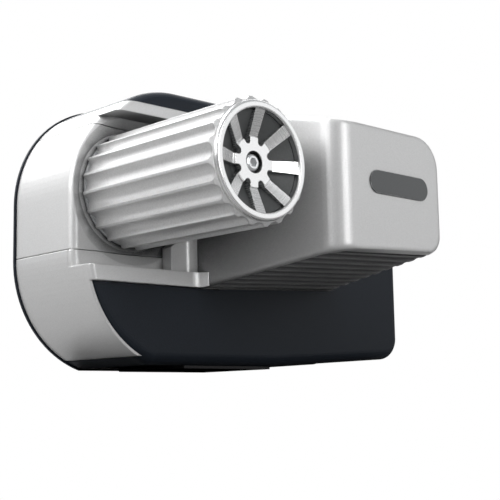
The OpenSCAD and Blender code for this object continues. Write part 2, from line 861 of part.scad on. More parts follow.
module bracket_bolts() {
  head_h = 6.5;
  color([0.62, 0.62, 0.64])
    for (y = bolt_rows_y) for (z = bolt_rows_z) union() {
      translate([0, y, z]) along_x(bracket_x - head_h, head_h) circle(1.8 * bolt_r, $fn = 6);
      rod_along_x(bracket_x - 1, y, z, bolt_r, frame_x - bracket_x + 0.5);
    }
}

module cable_gland() {
  nut_t = 5;
  nose = 15;
  color([0.07, 0.07, 0.075]) difference() {
    union() {
      translate([0, gland_y, gland_z]) along_x(rear_x - nut_t, nut_t) circle(gland_r + nut_t, $fn = 6);
      rod_along_x(rear_x - nose, gland_y, gland_z, gland_r + 2, nose - nut_t + 1);
      rod_along_x(rear_x - 1, gland_y, gland_z, gland_r, back_t + frame_t + 1);
    }
    rod_along_x(rear_x - nose - 1, gland_y, gland_z, gland_bore_r, back_t + frame_t + nose + 3);
  }
}

// Shape of the carriage's front in Y and Z
module tongue() {
  intersection() {
    outline();
    translate([yl - 1, tongue_low]) square([carrier_end - yl + 1, 2 * tongue_h]);
  }
}

// Silver skin of the carriage: the nose and the floor of the recess
module carriage_cover() {
  color([0.78, 0.79, 0.8]) difference() {
    intersection() {
      rounded_form(back_x + seam_gap, floor_x, edge_r);
      along_x(back_x, floor_x - back_x) tongue();
    }
    along_x(back_x - 1, root_x - skin_t - back_x + 1) outline(wall + 3);
    rod_along_x(root_x - skin_t - 1, 0, axis_h, snout_r + 0.4, skin_t + 2);
    root_dish();
  }
}

// Casting round the output gear, behind the skin
module carrier_block() {
  color([0.6, 0.61, 0.62]) difference() {
    along_x(lid_x, block_x - lid_x) intersection() {
      tongue();
      outline(wall + 3 + fit_gap);
    }
    along_x(lid_x - 1, case_x - lid_x + 1) union() {
      translate([0, axis_h]) circle(cavity_h);
      translate([0, axis_h - cavity_h]) square([carrier_end + 1, 2 * cavity_h]);
    }
    rod_along_x(lid_x - 1, a_y, a_z, tip_a + case_gap, case_in - lid_x + 1);
    rod_along_x(case_x - 1, 0, axis_h, snout_flange_r + run_gap, snout_flange_t + 1);
    rod_along_x(case_x - 1, 0, axis_h, snout_r + run_gap, front_wall + 3);
    rod_along_x(case_x - 1, b_y, b_z, gear_shaft_r + run_gap, front_wall);
  }
}

// Shape of the rear part of the gear case, which runs on to the motor
module case_shape() {
  difference() {
    union() {
      translate([a_y, a_z]) circle(case_a_r);
      translate([m_y, m_z]) circle(motor_r);
      translate([carrier_end, m_z - motor_r]) square([m_y - carrier_end, tongue_top - m_z + motor_r]);
    }
    translate([yl, tongue_low - fit_gap]) square([carrier_end - yl, 3 * tongue_h]);
  }
}

module gear_case() {
  web_w = 10;
  color([0.6, 0.61, 0.62]) difference() {
    union() {
      along_x(lid_x, case_front - lid_x) case_shape();
      for (z = [rod_low_z, rod_top_z])
        rod_along_y(rod_x, boss_y, z, boss_r, boss_l);
      span_box([rod_x - web_w / 2, boss_y, rod_low_z], [rod_x + web_w / 2, a_y + 20, a_z - case_a_r + 6]);
      span_box([rod_x - web_w / 2, boss_y, tongue_top - 2], [rod_x + web_w / 2, m_y, rod_top_z]);
      span_box([rod_x, lug_y, rod_low_z - nut_r - lug_wall],
        [spindle_x + nut_r + lug_wall, lug_y + lug_l, rod_low_z + nut_r + lug_wall]);
    }
    along_x(lid_x - 1, case_in - lid_x + 1) union() {
      translate([a_y, a_z]) circle(tip_a + case_gap);
      translate([b_y, b_z]) circle(tip_b + case_gap);
      translate([m_y, m_z]) circle(module_1 * teeth_motor / 2 + 4);
    }
    rod_along_x(case_in - 1, a_y, a_z, first_shaft_r + run_gap, case_front_t);
    rod_along_x(case_in - 1, m_y, m_z, motor_shaft_r + 4, case_front_t + 2);
    for (z = [rod_low_z, rod_top_z]) {
      rod_along_y(rod_x, boss_y - 1, z, rod_r + 0.6, boss_l + 2);
      for (y = [boss_y - 1, boss_y + boss_l - bush_l])
        rod_along_y(rod_x, y, z, bush_r, bush_l + 1);
    }
    rod_along_y(spindle_x, lug_y - 1, rod_low_z, nut_r, lug_l + 2);
  }
}

function lid_screw_places() = [[-30, tongue_low + lid_screw_in], [-20, tongue_top - lid_screw_in],
  [b_y, tongue_top - lid_screw_in], [b_y - 30, tongue_low + lid_screw_in],
  [m_y + motor_r - 5, m_z + 6], [m_y - 8, tongue_top - 6]];

// Plate that closes the gear case and carries the inboard bearings
module gear_lid() {
  color([0.55, 0.56, 0.57]) difference() {
    along_x(lid_x - lid_t, lid_t) union() {
      intersection() {
        tongue();
        outline(wall + 3 + fit_gap);
      }
      case_shape();
    }
    rod_along_x(lid_x - lid_t - 1, 0, axis_h, bearing_od / 2 + run_gap, lid_t + 2);
    rod_along_x(lid_x - lid_t + lid_skin, b_y, b_z, gear_shaft_r + run_gap, lid_t);
    rod_along_x(lid_x - lid_t + lid_skin, a_y, a_z, first_shaft_r + run_gap, lid_t);
    rod_along_x(lid_x - lid_t + lid_skin, m_y, m_z, motor_shaft_r + run_gap, lid_t);
    for (p = lid_screw_places())
      rod_along_x(lid_x - lid_t - 1, p[0], p[1], lid_screw_r + fit_gap, lid_t + 2);
  }
}

module lid_screws() {
  head_h = 1.8;
  color([0.65, 0.65, 0.67]) for (p = lid_screw_places()) union() {
    rod_along_x(lid_x - lid_t - head_h, p[0], p[1], 1.7 * lid_screw_r, head_h);
    rod_along_x(lid_x - lid_t - 1, p[0], p[1], lid_screw_r, lid_t + 0.8);
  }
}

// Snout that reaches into the roller and holds its outer bearing
module bearing_housing() {
  color([0.55, 0.56, 0.57]) difference() {
    union() {
      rod_along_x(case_x, 0, axis_h, snout_flange_r, snout_flange_t);
      rod_along_x(case_x, 0, axis_h, snout_r, snout_end - case_x);
    }
    rod_along_x(case_x - 1, 0, axis_h, shaft_r + 4, snout_end - case_x + 2);
    rod_along_x(snout_end - snout_lip - front_bearing_w, 0, axis_h, bearing_od / 2 + run_gap,
      front_bearing_w + snout_lip + 1);
  }
}

// Ball bearing drawn as one ring with recessed shields
module bearing(x, w) {
  outer = bearing_od / 2;
  inner = shaft_r + run_gap;
  ring = (outer - inner) * 0.28;
  shield = 0.6;
  difference() {
    rod_along_x(x, 0, axis_h, outer, w);
    rod_along_x(x - 1, 0, axis_h, inner, w + 2);
    for (xs = [x - 1, x + w - shield]) difference() {
      rod_along_x(xs, 0, axis_h, outer - ring, 1 + shield);
      rod_along_x(xs - 1, 0, axis_h, inner + ring, 3 + shield);
    }
  }
}

module roller_bearings() {
  color([0.7, 0.71, 0.73]) {
    bearing(snout_end - snout_lip - front_bearing_w, front_bearing_w);
    bearing(lid_x - lid_t, lid_t);
  }
}

module motor_can() {
  color([0.25, 0.26, 0.28]) difference() {
    rod_along_x(motor_x, m_y, m_z, motor_r, motor_l);
    rod_along_x(motor_x - 1, m_y, m_z, motor_r - can_wall, motor_l + 2);
  }
}

module motor_magnets() {
  outer = motor_r - can_wall - run_gap;
  x0 = motor_x + magnet_in;
  l = motor_l - magnet_in - magnet_back;
  split = 18;
  color([0.2, 0.2, 0.21]) difference() {
    rod_along_x(x0, m_y, m_z, outer, l);
    rod_along_x(x0 - 1, m_y, m_z, outer - magnet_t, l + 2);
    for (s = [-1, 1])
      translate([x0 - 1, m_y + (s - 0.5) * motor_r, m_z - split / 2]) cube([l + 2, motor_r, split]);
  }
}

module motor_front_bell() {
  color([0.6, 0.61, 0.62]) difference() {
    rod_along_x(motor_flange_x, m_y, m_z, motor_r, motor_x - motor_flange_x);
    rod_along_x(motor_flange_x - 1, m_y, m_z, motor_shaft_r + run_gap, motor_x - motor_flange_x + 2);
  }
}

module motor_end_bell() {
  bell_t = 8;
  color([0.55, 0.56, 0.57]) difference() {
    union() {
      rod_along_x(motor_end, m_y, m_z, motor_r - 1, bell_t - 3);
      rod_along_x(motor_end, m_y, m_z, 14, bell_t);
    }
    rod_along_x(motor_end - 1, m_y, m_z, motor_shaft_r + run_gap, bell_t - 1);
  }
}

// Plain bronze bushes on the guide rods
module guide_bushes() {
  color([0.72, 0.5, 0.22]) for (z = [rod_low_z, rod_top_z])
    for (y = [boss_y, boss_y + boss_l - bush_l]) difference() {
      rod_along_y(rod_x, y, z, bush_r, bush_l);
      rod_along_y(rod_x, y - 1, z, rod_r + run_gap, bush_l + 2);
    }
}

module spindle_nut() {
  color([0.72, 0.5, 0.22]) difference() {
    union() {
      rod_along_y(spindle_x, lug_y, rod_low_z, nut_r, lug_l);
      rod_along_y(spindle_x, lug_y + lug_l, rod_low_z, nut_flange_r, nut_flange_t);
    }
    rod_along_y(spindle_x, lug_y - 1, rod_low_z, spindle_r + run_gap, lug_l + nut_flange_t + 2);
  }
}

// Fluted sleeve with a web that sits on the shaft
module roller_sleeve() {
  edge = 0.6;
  collar_r = shaft_r + 8;
  collar_x = web_x + web_t + 12;
  color([0.8, 0.81, 0.82]) translate([0, 0, axis_h]) difference() {
    rotate([90, 0, 90]) rotate_extrude() polygon([[bore_r, 0], [roller_r - edge, 0], [roller_r, edge],
      [roller_r, sleeve_l - bevel_l], [cap_r + fit_gap, sleeve_l], [cap_seat_r, sleeve_l],
      [cap_seat_r, sleeve_l - cap_seat_l], [bore_r, sleeve_l - cap_seat_l],
      [bore_r, web_x + web_t], [collar_r, web_x + web_t], [collar_r, collar_x],
      [shaft_r, collar_x], [shaft_r, web_x], [bore_r, web_x]]);
    for (i = [0 : flutes - 1]) rotate([ridge_turn + 360 * (i + 0.5) / flutes, 0, 0])
      translate([0, valley_r + flute_r, 0]) flute_cutter();
  }
}

// Cutter for one flute, with a round end before the free end
module flute_cutter() {
  l = sleeve_l - flute_back;
  rod_along_x(-1, 0, 0, flute_r, l + 1);
  translate([l, 0, 0]) sphere(flute_r);
}

module root_flange() {
  flange_t = root_gap - 0.8;
  color([0.62, 0.63, 0.65]) difference() {
    rod_along_x(-flange_t, 0, axis_h, valley_r + 1.6, flange_t);
    rod_along_x(-flange_t - 1, 0, axis_h, bore_r, flange_t + 2);
  }
}

module roller_shaft() {
  color([0.7, 0.71, 0.73]) difference() {
    rod_along_x(lid_x - lid_t + 0.5, 0, axis_h, shaft_r, shaft_end - lid_x + lid_t - 0.5);
    rod_along_x(shaft_end - 22, 0, axis_h, screw_r + run_gap, 24);
  }
}

module output_gear() {
  color([0.5, 0.51, 0.53]) difference() {
    gear_body(module_3, teeth_out, x3, width_3, 0, axis_h, 0);
    rod_along_x(x3 - 1, 0, axis_h, shaft_r, width_3 + 2);
  }
}

// One window between two spokes, round at the hub end
module cap_window(outer) {
  half = 180 / spokes - asin(spoke_w / 2 / outer);
  mid = [hub_r - window_in, 0];
  corner = outer * [cos(half), sin(half)];
  // The straight sides leave the round end along its tangents
  lean = atan2(corner[1], corner[0] - mid[0]) + acos(window_r / norm(corner - mid));
  touch = mid + window_r * [cos(lean), sin(lean)];
  far = touch + 2 * (corner - touch);
  intersection() {
    circle(outer);
    union() {
      translate(mid) circle(window_r);
      polygon([[touch[0], -touch[1]], [far[0], -far[1]], far, touch]);
    }
  }
}

// Dished cap with spokes on the roller's free end
module end_cap() {
  rim_in = cap_r - rim_w;
  rim_x = roller_l;
  hub_x = rim_x - dish_depth;
  step = 0.8;
  round_r = 2;
  inner_r = 1.2;
  crown = concat(
    [for (a = [0 : 15 : 90]) [cap_r - round_r + round_r * cos(a), rim_x - round_r + round_r * sin(a)]],
    [for (a = [90 : 30 : 180]) [rim_in + inner_r + inner_r * cos(a), rim_x - inner_r + inner_r * sin(a)]]);
  plug_r = cap_seat_r - fit_gap;
  plug_l = 6;
  color([0.86, 0.87, 0.88]) translate([0, 0, axis_h]) difference() {
    union() {
      rotate([90, 0, 90]) rotate_extrude() polygon(concat([[screw_r + 0.3, hub_back], [hub_r, hub_back],
        [rim_in, rim_x - rim_drop - dish_t], [rim_in, sleeve_l - plug_l], [plug_r, sleeve_l - plug_l],
        [plug_r, sleeve_l], [cap_r, sleeve_l]], crown, [[rim_in, rim_x - rim_drop],
        [hub_r + 1, hub_x - step], [hub_r + 0.4, hub_x], [screw_r + 0.3, hub_x]]));
    }
    along_x(hub_back - 1, roller_l) for (i = [0 : spokes - 1])
      rotate(spoke_turn + 360 * (i + 0.5) / spokes) cap_window(rim_in);
    rod_along_x(hub_x - screw_depth, 0, 0, screw_recess_r, 2 * screw_depth);
  }
}

// Dark cone close behind the spokes
module cap_liner() {
  rim_in = cap_r - rim_w - fit_gap;
  hub_front = hub_back - fit_gap;
  rim_front = roller_l - rim_drop - dish_t - fit_gap;
  color([0.16, 0.17, 0.18]) translate([0, 0, axis_h]) rotate([90, 0, 90]) rotate_extrude()
    polygon([[screw_r + 0.3, hub_front - liner_t], [hub_r, hub_front - liner_t],
      [rim_in, rim_front - liner_t], [rim_in, rim_front], [hub_r, hub_front], [screw_r + 0.3, hub_front]]);
}

module cap_screw() {
  head_x = roller_l - dish_depth - screw_depth;
  top = head_x + screw_head_h;
  dome = 1.4;
  socket_h = 2.6;
  color([0.75, 0.76, 0.78]) translate([0, 0, axis_h]) difference() {
    union() {
      rotate([90, 0, 90]) rotate_extrude() polygon([[0, head_x], [screw_head_r, head_x],
        [screw_head_r, top - dome], [screw_head_r - dome / 2, top - dome / 3],
        [screw_head_r - 1.2 * dome, top], [0, top]]);
      rod_along_x(shaft_end - 20, 0, 0, screw_r, head_x - shaft_end + 21);
    }
    along_x(top - socket_h, socket_h + 1) circle(screw_socket_r, $fn = 6);
  }
}

module second_gear() {
  color([0.55, 0.56, 0.58]) union() {
    gear_body(module_3, teeth_b_small, x3, width_3, b_y, b_z, turn_b_small);
    gear_body(module_2, teeth_b_large, x2, width_2, b_y, b_z, 0);
    rod_along_x(axle_x, b_y, b_z, gear_shaft_r, case_x + front_wall - axle_end_gap - axle_x);
    rod_along_x(x2 + width_2, b_y, b_z, gear_shaft_r + 3, case_gap);
  }
}

module first_gear() {
  color([0.55, 0.56, 0.58]) union() {
    gear_body(module_2, teeth_a_small, x2, width_2, a_y, a_z, turn_a_small);
    gear_body(module_1, teeth_a_large, x1, width_1, a_y, a_z, 0);
    rod_along_x(axle_x, a_y, a_z, first_shaft_r, case_front - axle_end_gap - axle_x);
    rod_along_x(x1 + width_1, a_y, a_z, first_shaft_r + 3, case_gap);
  }
}

// Shaft, wound core and commutator of the drive motor
module motor_armature() {
  // The core clears the magnets, and the commutator stands behind it
  core_r = motor_r - can_wall - magnet_t - air_gap;
  core_x = motor_x + magnet_in + 2;
  core_l = motor_l - magnet_in - magnet_back - 4;
  commutator_r = motor_shaft_r + 7;
  commutator_l = 12;
  slots = 12;
  slot_w = 2;
  slot_depth = 5;
  x0 = axle_x;
  color([0.45, 0.3, 0.2]) difference() {
    union() {
      rod_along_x(x0, m_y, m_z, motor_shaft_r, motor_end + 4 - x0);
      rod_along_x(core_x, m_y, m_z, core_r, core_l);
      rod_along_x(core_x + core_l, m_y, m_z, commutator_r, commutator_l);
    }
    for (i = [0 : slots - 1]) translate([0, m_y, m_z]) rotate([360 * i / slots, 0, 0])
      translate([core_x - 1, core_r - slot_depth, -slot_w / 2]) cube([core_l + 2, 2 * slot_depth, slot_w]);
  }
}

module motor_pinion() {
  color([0.6, 0.61, 0.63]) difference() {
    gear_body(module_1, teeth_motor, x1, width_1, m_y, m_z, turn_motor);
    rod_along_x(x1 - 1, m_y, m_z, motor_shaft_r, width_1 + 2);
  }
}

// Spindle with its thread drawn as rings of the thread's pitch and depth
module spindle() {
  y0 = support_y + support_t;
  l = engage_plate_y - y0;
  depth = 1;
  turns = floor((l - 8) / spindle_pitch);
  land = spindle_pitch * 0.4;
  color([0.7, 0.71, 0.73]) translate([spindle_x, 0, rod_low_z]) union() {
    rod_along_y(0, support_y + 0.5, 0, journal_r, engage_plate_y + engage_plate_t + journal_l - support_y);
    rod_along_y(0, y0 + 0.3, 0, spindle_r - depth, l - 0.6);
    translate([0, y0 + 4, 0]) rotate([-90, 0, 0]) for (i = [0 : turns - 1])
      translate([0, 0, i * spindle_pitch]) cylinder(r = spindle_r, h = land);
  }
}

placed() back_cover();
placed() frame_plate();
placed() lower_housing();
placed() upper_housing();
placed() upper_side_cover();
placed() lower_side_cover();
placed() motor_cover();
placed() vent_grille();
placed() name_plate();
placed() foot_pad();
placed() guide_rods();
placed() rod_blocks();
placed() engage_motor();
placed() engage_bracket();
placed() spindle_support();
placed() mounting_bracket();
placed() tube_socket();
placed() tube_clamp_screws();
placed() bracket_bolts();
placed() back_cover_screws();
placed() cable_gland();
placed() carriage_cover();
placed() carrier_block();
placed() gear_case();
placed() gear_lid();
placed() lid_screws();
placed() bearing_housing();
placed() roller_bearings();
placed() motor_can();
placed() motor_front_bell();
placed() motor_end_bell();
placed() motor_magnets();
placed() guide_bushes();
placed() spindle_nut();
placed() roller_sleeve();
placed() root_flange();
placed() roller_shaft();
placed() output_gear();
placed() end_cap();
placed() cap_liner();
placed() cap_screw();
placed() second_gear();
placed() first_gear();
placed() motor_armature();
placed() motor_pinion();
placed() spindle();
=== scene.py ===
import json
import math

import bpy
from mathutils import Matrix, Vector


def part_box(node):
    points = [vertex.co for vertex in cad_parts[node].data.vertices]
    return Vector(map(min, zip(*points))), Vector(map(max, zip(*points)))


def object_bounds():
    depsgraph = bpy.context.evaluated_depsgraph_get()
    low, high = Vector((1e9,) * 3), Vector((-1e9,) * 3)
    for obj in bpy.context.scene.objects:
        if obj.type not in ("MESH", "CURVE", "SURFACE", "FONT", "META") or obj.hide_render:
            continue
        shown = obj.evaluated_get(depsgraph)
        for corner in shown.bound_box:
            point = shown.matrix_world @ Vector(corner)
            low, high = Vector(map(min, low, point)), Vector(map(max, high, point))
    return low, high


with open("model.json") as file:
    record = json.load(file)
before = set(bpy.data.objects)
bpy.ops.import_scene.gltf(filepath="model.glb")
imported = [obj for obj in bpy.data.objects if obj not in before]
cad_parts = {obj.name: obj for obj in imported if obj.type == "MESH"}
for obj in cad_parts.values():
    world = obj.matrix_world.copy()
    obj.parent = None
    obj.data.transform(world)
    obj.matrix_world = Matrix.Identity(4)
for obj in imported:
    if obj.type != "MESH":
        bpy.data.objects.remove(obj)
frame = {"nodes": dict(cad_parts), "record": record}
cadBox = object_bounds()
scene = bpy.context.scene
nodes = frame["nodes"]
slotOf = {part["node"]: part["material_slot"] for part in frame["record"]["subparts"]}
print("frame loaded:", len(nodes), "pieces")

rollerLow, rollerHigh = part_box("roller_sleeve")
rollerMid = (rollerLow + rollerHigh) / 2
rollerRoot = Vector((rollerLow.x, rollerMid.y, rollerMid.z))
objectMid = (cadBox[0] + cadBox[1]) / 2


# Small helpers: a direction from the object, and what the node trees need

def outward(azimuth, elevation):
    around, rise = math.radians(azimuth), math.radians(elevation)
    return Vector((math.sin(around) * math.cos(rise), -math.cos(around) * math.cos(rise), math.sin(rise)))


def addNode(tree, kind, values=None, **fields):
    node = tree.nodes.new(kind)
    for field, value in fields.items():
        setattr(node, field, value)
    for socket, value in (values or {}).items():
        node.inputs[socket].default_value = value
    return node


def joinNodes(tree, source, target):
    tree.links.new(source, target)


def newGroup(name, inputs, outputs):
    group = bpy.data.node_groups.new(name, "ShaderNodeTree")
    for label, kind, value in inputs:
        group.interface.new_socket(label, in_out="INPUT", socket_type=kind).default_value = value
    for label in outputs:
        group.interface.new_socket(label, in_out="OUTPUT", socket_type="NodeSocketFloat")
    return group, group.nodes.new("NodeGroupInput"), group.nodes.new("NodeGroupOutput")


# Shared surface effects and painted shade, each a node group that puts out one mask or height

effectSet = {
    "noiseMiddle": 0.5,
    "bevelSamples": 4,
    "shadeSamples": 8,
}


def makeGrain():
    group, enter, leave = newGroup("surfaceGrain", [
        ("Scale", "NodeSocketFloat", 600.0),
        ("Detail", "NodeSocketFloat", 3.0),
        ("Spread", "NodeSocketFloat", 0.25),
    ], ["Value"])
    place = addNode(group, "ShaderNodeTexCoord")
    noise = addNode(group, "ShaderNodeTexNoise", {"Roughness": 0.55})
    low = addNode(group, "ShaderNodeMath", {0: effectSet["noiseMiddle"]}, operation="SUBTRACT")
    high = addNode(group, "ShaderNodeMath", {0: effectSet["noiseMiddle"]}, operation="ADD")
    stretch = addNode(group, "ShaderNodeMapRange")
    joinNodes(group, place.outputs["Object"], noise.inputs["Vector"])
    joinNodes(group, enter.outputs["Scale"], noise.inputs["Scale"])
    joinNodes(group, enter.outputs["Detail"], noise.inputs["Detail"])
    joinNodes(group, enter.outputs["Spread"], low.inputs[1])
    joinNodes(group, enter.outputs["Spread"], high.inputs[1])
    joinNodes(group, noise.outputs["Fac"], stretch.inputs["Value"])
    joinNodes(group, low.outputs[0], stretch.inputs["From Min"])
    joinNodes(group, high.outputs[0], stretch.inputs["From Max"])
    joinNodes(group, stretch.outputs["Result"], leave.inputs["Value"])
    return group


def makeFlake():
    group, enter, leave = newGroup("coatFlake", [
        ("Scale", "NodeSocketFloat", 2500.0),
    ], ["Value"])
    place = addNode(group, "ShaderNodeTexCoord")
    cells = addNode(group, "ShaderNodeTexVoronoi", feature="F1")
    split = addNode(group, "ShaderNodeSeparateColor")
    joinNodes(group, place.outputs["Object"], cells.inputs["Vector"])
    joinNodes(group, enter.outputs["Scale"], cells.inputs["Scale"])
    joinNodes(group, cells.outputs["Color"], split.inputs["Color"])
    joinNodes(group, split.outputs["Red"], leave.inputs["Value"])
    return group


def makeEdgeWear():
    group, enter, leave = newGroup("edgeWear", [
        ("Radius", "NodeSocketFloat", 0.0006),
        ("Scale", "NodeSocketFloat", 220.0),
        ("Amount", "NodeSocketFloat", 0.4),
    ], ["Mask"])
    place = addNode(group, "ShaderNodeTexCoord")
    shape = addNode(group, "ShaderNodeNewGeometry")
    bevel = addNode(group, "ShaderNodeBevel", samples=effectSet["bevelSamples"])
    dot = addNode(group, "ShaderNodeVectorMath", operation="DOT_PRODUCT")  # falls below 1 at an edge
    turn = addNode(group, "ShaderNodeMapRange", {"From Min": 0.995, "From Max": 0.93})
    noise = addNode(group, "ShaderNodeTexNoise", {"Detail": 4.0, "Roughness": 0.6})
    patch = addNode(group, "ShaderNodeMapRange", {"From Min": 0.42, "From Max": 0.62})
    both = addNode(group, "ShaderNodeMath", operation="MULTIPLY")
    share = addNode(group, "ShaderNodeMath", operation="MULTIPLY")
    joinNodes(group, enter.outputs["Radius"], bevel.inputs["Radius"])
    joinNodes(group, bevel.outputs["Normal"], dot.inputs[0])
    joinNodes(group, shape.outputs["Normal"], dot.inputs[1])
    joinNodes(group, dot.outputs["Value"], turn.inputs["Value"])
    joinNodes(group, place.outputs["Object"], noise.inputs["Vector"])
    joinNodes(group, enter.outputs["Scale"], noise.inputs["Scale"])
    joinNodes(group, noise.outputs["Fac"], patch.inputs["Value"])
    joinNodes(group, turn.outputs["Result"], both.inputs[0])
    joinNodes(group, patch.outputs["Result"], both.inputs[1])
    joinNodes(group, both.outputs[0], share.inputs[0])
    joinNodes(group, enter.outputs["Amount"], share.inputs[1])
    joinNodes(group, share.outputs[0], leave.inputs["Mask"])
    return group


def makeDust():
    group, enter, leave = newGroup("settledDust", [
        ("Scale", "NodeSocketFloat", 60.0),
        ("Amount", "NodeSocketFloat", 0.08),
    ], ["Mask"])
    place = addNode(group, "ShaderNodeTexCoord")
    shape = addNode(group, "ShaderNodeNewGeometry")
    split = addNode(group, "ShaderNodeSeparateXYZ")
    upward = addNode(group, "ShaderNodeMapRange", {"From Min": 0.35, "From Max": 1.0})
    noise = addNode(group, "ShaderNodeTexNoise", {"Detail": 6.0, "Roughness": 0.65})
    both = addNode(group, "ShaderNodeMath", operation="MULTIPLY")
    share = addNode(group, "ShaderNodeMath", operation="MULTIPLY")
    joinNodes(group, shape.outputs["Normal"], split.inputs[0])
    joinNodes(group, split.outputs["Z"], upward.inputs["Value"])
    joinNodes(group, place.outputs["Object"], noise.inputs["Vector"])
    joinNodes(group, enter.outputs["Scale"], noise.inputs["Scale"])
    joinNodes(group, upward.outputs["Result"], both.inputs[0])
    joinNodes(group, noise.outputs["Fac"], both.inputs[1])
    joinNodes(group, both.outputs[0], share.inputs[0])
    joinNodes(group, enter.outputs["Amount"], share.inputs[1])
    joinNodes(group, share.outputs[0], leave.inputs["Mask"])
    return group


def makeBrushing():
    group, enter, leave = newGroup("brushMarks", [
        ("Stretch", "NodeSocketVector", (1.0, 1.0, 1.0)),
        ("Scale", "NodeSocketFloat", 90.0),
    ], ["Value"])
    place = addNode(group, "ShaderNodeTexCoord")
    long = addNode(group, "ShaderNodeVectorMath", operation="MULTIPLY")
    noise = addNode(group, "ShaderNodeTexNoise", {"Detail": 5.0, "Roughness": 0.6})
    joinNodes(group, place.outputs["Object"], long.inputs[0])
    joinNodes(group, enter.outputs["Stretch"], long.inputs[1])
    joinNodes(group, long.outputs["Vector"], noise.inputs["Vector"])
    joinNodes(group, enter.outputs["Scale"], noise.inputs["Scale"])
    joinNodes(group, noise.outputs["Fac"], leave.inputs["Value"])
    return group


def makeTurning():
    group, enter, leave = newGroup("turnMarks", [
        ("Centre", "NodeSocketVector", tuple(rollerMid)),
        ("Scale", "NodeSocketFloat", 2600.0),
    ], ["Value"])
    place = addNode(group, "ShaderNodeTexCoord")
    offset = addNode(group, "ShaderNodeVectorMath", operation="SUBTRACT")
    across = (0.0, 1.0, 1.0)  # leaves out the way along the roller
    flat = addNode(group, "ShaderNodeVectorMath", {1: across}, operation="MULTIPLY")
    radius = addNode(group, "ShaderNodeVectorMath", operation="LENGTH")
    noise = addNode(group, "ShaderNodeTexNoise", {"Detail": 3.0, "Roughness": 0.7},
                    noise_dimensions="1D")
    joinNodes(group, place.outputs["Object"], offset.inputs[0])
    joinNodes(group, enter.outputs["Centre"], offset.inputs[1])
    joinNodes(group, offset.outputs["Vector"], flat.inputs[0])
    joinNodes(group, flat.outputs["Vector"], radius.inputs[0])
    joinNodes(group, radius.outputs["Value"], noise.inputs["W"])
    joinNodes(group, enter.outputs["Scale"], noise.inputs["Scale"])
    joinNodes(group, noise.outputs["Fac"], leave.inputs["Value"])
    return group


# painted shade: ambient occlusion darkens the colour in crevices, hollows and beside near parts, where
# shade falls
def makePaintedShade():
    group, enter, leave = newGroup("paintedCreviceShade", [
        ("Reach", "NodeSocketFloat", 0.02),
        ("Start", "NodeSocketFloat", 0.72),
        ("Amount", "NodeSocketFloat", 0.5),
    ], ["Mask"])
    spread = addNode(group, "ShaderNodeAmbientOcclusion", samples=effectSet["shadeSamples"])
    closed = addNode(group, "ShaderNodeMapRange", {"From Max": 0.25})  # full painted shade from here down
    share = addNode(group, "ShaderNodeMath", operation="MULTIPLY")
    joinNodes(group, enter.outputs["Reach"], spread.inputs["Distance"])
    joinNodes(group, spread.outputs["AO"], closed.inputs["Value"])
    joinNodes(group, enter.outputs["Start"], closed.inputs["From Min"])
    joinNodes(group, closed.outputs["Result"], share.inputs[0])
    joinNodes(group, enter.outputs["Amount"], share.inputs[1])
    joinNodes(group, share.outputs[0], leave.inputs["Mask"])
    return group


effects = {
    "grain": makeGrain(),
    "flake": makeFlake(),
    "wear": makeEdgeWear(),
    "dust": makeDust(),
    "brushing": makeBrushing(),
    "turning": makeTurning(),
    "paintedShade": makePaintedShade(),
}
print("effects made:", ", ".join(sorted(effects)))


# Finishes: every dictionary below feeds one recipe, and this one holds what most of them share

plainFinish = {
    "coat": 0.0,
    "coatRough": 0.2,
    "ior": 1.5,
    "marks": None,  # name of an effect that takes the place of the grain
    "flakeScale": None,
    "grainDetail": 3.0,
    "wearRadius": 0.0006,
    "dust": 0.06,
    "dustTone": (0.55, 0.54, 0.52),
    # painted shade, off unless a finish sets it
    "paintedShade": 0.0,
    "paintedShadeStart": 0.72,  # share of open space where the painted shade begins
    "soften": 0.0004,
}
mixSocket = {"first": 6, "second": 7, "result": 2}  # places of the mix node's colour sockets


def placeEffect(tree, effect, **values):
    node = addNode(tree, "ShaderNodeGroup", node_tree=effects[effect])
    for socket, value in values.items():
        node.inputs[socket].default_value = value
    return node.outputs[0]


def mixTone(tree, mask, first, second):
    mix = addNode(tree, "ShaderNodeMix", data_type="RGBA")
    joinNodes(tree, mask, mix.inputs["Factor"])
    for end, tone in (("first", first), ("second", second)):
        socket = mix.inputs[mixSocket[end]]
        if isinstance(tone, tuple):
            socket.default_value = (*tone, 1.0)
        else:
            joinNodes(tree, tone, socket)
    return mix.outputs[mixSocket["result"]]


